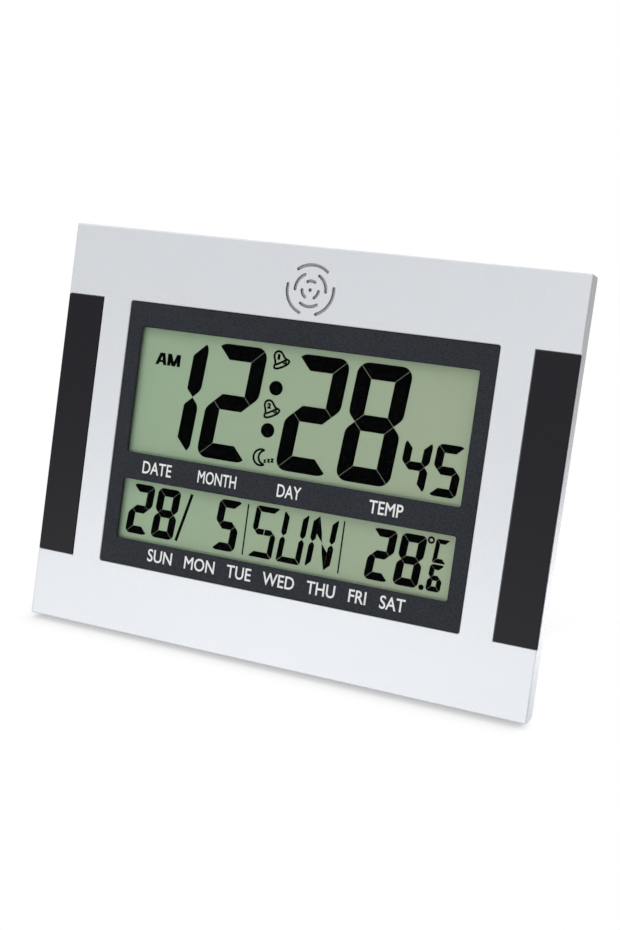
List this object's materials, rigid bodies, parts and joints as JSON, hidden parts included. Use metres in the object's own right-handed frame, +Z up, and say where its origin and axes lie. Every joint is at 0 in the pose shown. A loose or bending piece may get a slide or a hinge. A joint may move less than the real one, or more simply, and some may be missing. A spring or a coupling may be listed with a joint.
{
  "type": "digital alarm clock",
  "caption": "Wide silver digital alarm clock with a segment display in two windows, a round sound grille, keys and battery bay at the back, and a fold-out stand.",
  "frame": {"origin": "on the table top, under the middle of the clock's box", "axes": "+X to the right of someone facing the display, +Y to the back, +Z up; the panel leans back by 20 degrees"},
  "size_m": [0.26, 0.0894, 0.191],
  "materials": {
    "silver_abs": "fine silver lacquer over moulded plastic",
    "black_strip": "smooth near-black",
    "charcoal_abs": "fine-grained charcoal",
    "clear_acrylic": "clear and polished",
    "lcd_glass": "green-grey reflective liquid crystal",
    "reflector": "metallised film",
    "housing_abs": "spark-eroded dark grey",
    "inner_abs": "plain moulded",
    "elastomer": "layered conductive rubber",
    "circuit_board": "green solder mask",
    "potting": "black epoxy",
    "steel": "bright plated",
    "sensor_bead": "dipped epoxy",
    "speaker_plastic": "dark film and frame",
    "dust_cloth": "pale non-woven cloth",
    "ferrite": "ground ferrite",
    "cell_jacket": "plain sleeve",
    "key_rubber": "soft matte",
    "red_wire": "insulated lead",
    "black_wire": "insulated lead",
    "ribbon": "flat cable"
  },
  "bodies": {
    "clock_body": {"front_frame": "silver_abs", "side_strip_left": "black_strip", "side_strip_right": "black_strip", "display_bezel": "charcoal_abs", "display_window": "clear_acrylic", "lcd_glass": "lcd_glass", "lcd_reflector": "reflector", "display_clamp": "inner_abs", "zebra_strip": "elastomer", "clamp_screw_1": "steel", "clamp_screw_2": "steel", "clamp_screw_3": "steel", "clamp_screw_4": "steel", "main_board": "circuit_board", "board_screw_1": "steel", "board_screw_2": "steel", "board_screw_3": "steel", "board_screw_4": "steel", "controller_blob": "potting", "watch_crystal": "steel", "temperature_sensor": "sensor_bead", "grille_cloth": "dust_cloth", "speaker_basket": "speaker_plastic", "speaker_cone": "speaker_plastic", "speaker_magnet": "ferrite", "rear_cover": "housing_abs", "case_screw_1": "steel", "case_screw_2": "steel", "case_screw_3": "steel", "case_screw_4": "steel", "case_screw_5": "steel", "case_screw_6": "steel", "stand_hinge_pin": "steel", "contact_positive": "steel", "contact_negative": "steel", "contact_link": "steel", "battery_upper": "cell_jacket", "battery_lower": "cell_jacket", "contact_coil_lower": "steel", "contact_coil_upper": "steel", "mode_switch": "potting", "set_switch": "potting", "up_switch": "potting", "down_switch": "potting", "alarm_switch": "potting", "key_board": "circuit_board", "key_board_screw_1": "steel", "key_board_screw_2": "steel", "speaker_lead_1": "black_wire", "speaker_lead_2": "red_wire", "battery_lead_positive": "red_wire", "battery_lead_negative": "black_wire", "key_ribbon": "ribbon"},
    "stand": {"stand_leg": "housing_abs"},
    "door": {"battery_door": "housing_abs"},
    "mode_button": {"mode_key": "key_rubber"},
    "set_button": {"set_key": "key_rubber"},
    "up_button": {"up_key": "key_rubber"},
    "down_button": {"down_key": "key_rubber"},
    "alarm_button": {"alarm_key": "key_rubber"}
  },
  "joints": [
    {"name": "stand_fold", "type": "hinge", "parent": "clock_body", "child": "stand", "pos_m": [0, -0.01252, 0.0215], "axis": [1, 0, 0], "range_deg": [0, 90]},
    {"name": "battery_door_slide", "type": "slide", "parent": "clock_body", "child": "door", "axis": [1, 0, 0], "range_m": [0, 0.062]},
    {"name": "mode_key_press", "type": "slide", "parent": "clock_body", "child": "mode_button", "axis": [0, -0.9397, 0.342], "range_m": [0, 0.0008], "stiffness_N_per_m": 600},
    {"name": "set_key_press", "type": "slide", "parent": "clock_body", "child": "set_button", "axis": [0, -0.9397, 0.342], "range_m": [0, 0.0008], "stiffness_N_per_m": 600},
    {"name": "up_key_press", "type": "slide", "parent": "clock_body", "child": "up_button", "axis": [0, -0.9397, 0.342], "range_m": [0, 0.0008], "stiffness_N_per_m": 600},
    {"name": "down_key_press", "type": "slide", "parent": "clock_body", "child": "down_button", "axis": [0, -0.9397, 0.342], "range_m": [0, 0.0008], "stiffness_N_per_m": 600},
    {"name": "alarm_key_press", "type": "slide", "parent": "clock_body", "child": "alarm_button", "axis": [0, -0.9397, 0.342], "range_m": [0, 0.0008], "stiffness_N_per_m": 600}
  ]
}
